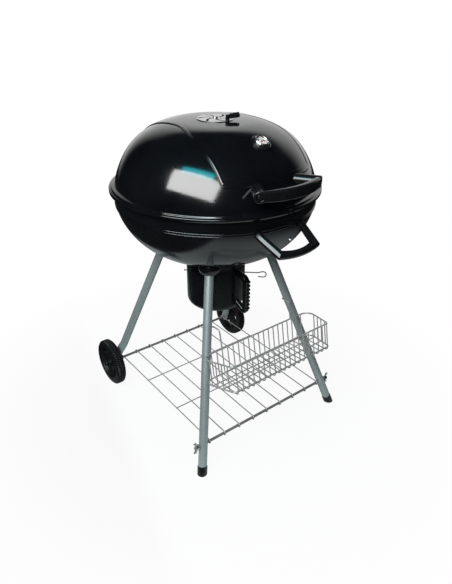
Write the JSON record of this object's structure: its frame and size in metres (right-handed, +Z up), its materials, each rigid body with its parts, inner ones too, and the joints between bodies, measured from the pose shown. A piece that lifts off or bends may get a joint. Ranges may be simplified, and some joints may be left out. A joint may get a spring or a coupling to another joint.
{
  "type": "kettle charcoal grill",
  "caption": "Round lidded charcoal grill on a wheeled tube stand with a wire shelf, a hung wire basket and an ash bucket under the bowl.",
  "frame": {"origin": "on the floor under the kettle axis, which is the middle of the footprint", "axes": "+Z up along the kettle axis; -Y is the front with the handles; +X to the right seen from the front"},
  "size_m": [0.5797, 0.6683, 0.9132],
  "materials": {
    "enamel": "glossy black enamel on sheet steel",
    "leg_paint": "grey hammered paint on steel tube",
    "black_plastic": "satin black moulding",
    "tread_plastic": "dull black moulded tread",
    "wire": "zinc-plated wire",
    "dark_steel": "dark steel rod",
    "grate_steel": "plated steel",
    "fastener": "zinc-plated",
    "chrome": "bright bezel",
    "aluminium": "bright pressed sheet",
    "dial": "pale printed face without text",
    "needle_red": "red pointer",
    "glass": "clear"
  },
  "bodies": {
    "grill": {"bowl": "enamel", "ash_collar": "enamel", "bowl_handle": "black_plastic", "bowl_handle_bolts": "fastener", "leg_front_left": "leg_paint", "leg_front_right": "leg_paint", "leg_back_left": "leg_paint", "leg_back_right": "leg_paint", "leg_socket_front_left": "black_plastic", "leg_socket_front_right": "black_plastic", "leg_socket_back_left": "black_plastic", "leg_socket_back_right": "black_plastic", "leg_bolts": "fastener", "leg_inserts": "fastener", "foot_cap_left": "black_plastic", "foot_cap_right": "black_plastic", "axle": "dark_steel", "axle_caps": "black_plastic", "shelf_rack": "wire", "front_rod": "dark_steel", "wing_nuts": "fastener", "rod_washers": "dark_steel", "charcoal_grate": "grate_steel", "cooking_grate": "grate_steel", "grate_bracket_front": "grate_steel", "grate_bracket_right": "grate_steel", "grate_bracket_left": "grate_steel", "bracket_rivets": "fastener"},
    "lid": {"lid_shell": "enamel", "lid_handle": "black_plastic", "lid_handle_screws": "fastener", "lid_handle_nuts": "fastener", "thermometer_seat": "black_plastic", "thermometer_case": "chrome", "thermometer_dial": "dial", "thermometer_lens": "glass", "thermometer_stem": "fastener", "thermometer_nut": "fastener", "vent_rivet": "fastener"},
    "lid_damper": {"vent_disc": "aluminium", "vent_lever": "black_plastic", "vent_grip": "black_plastic"},
    "needle": {"thermometer_needle": "needle_red"},
    "wheel_left": {"wheel_left_tyre": "tread_plastic", "wheel_left_hub": "black_plastic"},
    "wheel_right": {"wheel_right_tyre": "tread_plastic", "wheel_right_hub": "black_plastic"},
    "bucket": {"ash_bucket": "enamel", "ash_handle": "black_plastic", "ash_handle_rivets": "fastener"},
    "damper": {"damper_rod": "wire", "damper_plate": "enamel"},
    "basket": {"basket": "wire"}
  },
  "joints": [
    {"name": "lid_lift", "type": "slide", "parent": "grill", "child": "lid", "axis": [0, 0, 1], "range_m": [0, 0.25]},
    {"name": "vent_turn", "type": "hinge", "parent": "lid", "child": "lid_damper", "pos_m": [0, 0, 0.88991], "axis": [0, 0, 1], "range_deg": [0, 30]},
    {"name": "needle_turn", "type": "hinge", "parent": "lid", "child": "needle", "pos_m": [0, -0.18239, 0.86236], "axis": [0, 0.4772, -0.8788], "range_deg": [0, 270]},
    {"name": "wheel_left_spin", "type": "hinge", "parent": "grill", "child": "wheel_left", "pos_m": [-0.25, 0.25072, 0.0776], "axis": [1, 0, 0], "continuous": true},
    {"name": "wheel_right_spin", "type": "hinge", "parent": "grill", "child": "wheel_right", "pos_m": [0.25, 0.25072, 0.0776], "axis": [1, 0, 0], "continuous": true},
    {"name": "bucket_drop", "type": "slide", "parent": "grill", "child": "bucket", "axis": [0, 0, -1], "range_m": [0, 0.12]},
    {"name": "damper_turn", "type": "hinge", "parent": "grill", "child": "damper", "pos_m": [0, 0, 0.445], "axis": [0.7431, -0.6691, 0], "range_deg": [0, 90]},
    {"name": "basket_swing", "type": "hinge", "parent": "grill", "child": "basket", "pos_m": [0, -0.15829, 0.378], "axis": [-1, 0, 0], "range_deg": [0, 60]}
  ]
}
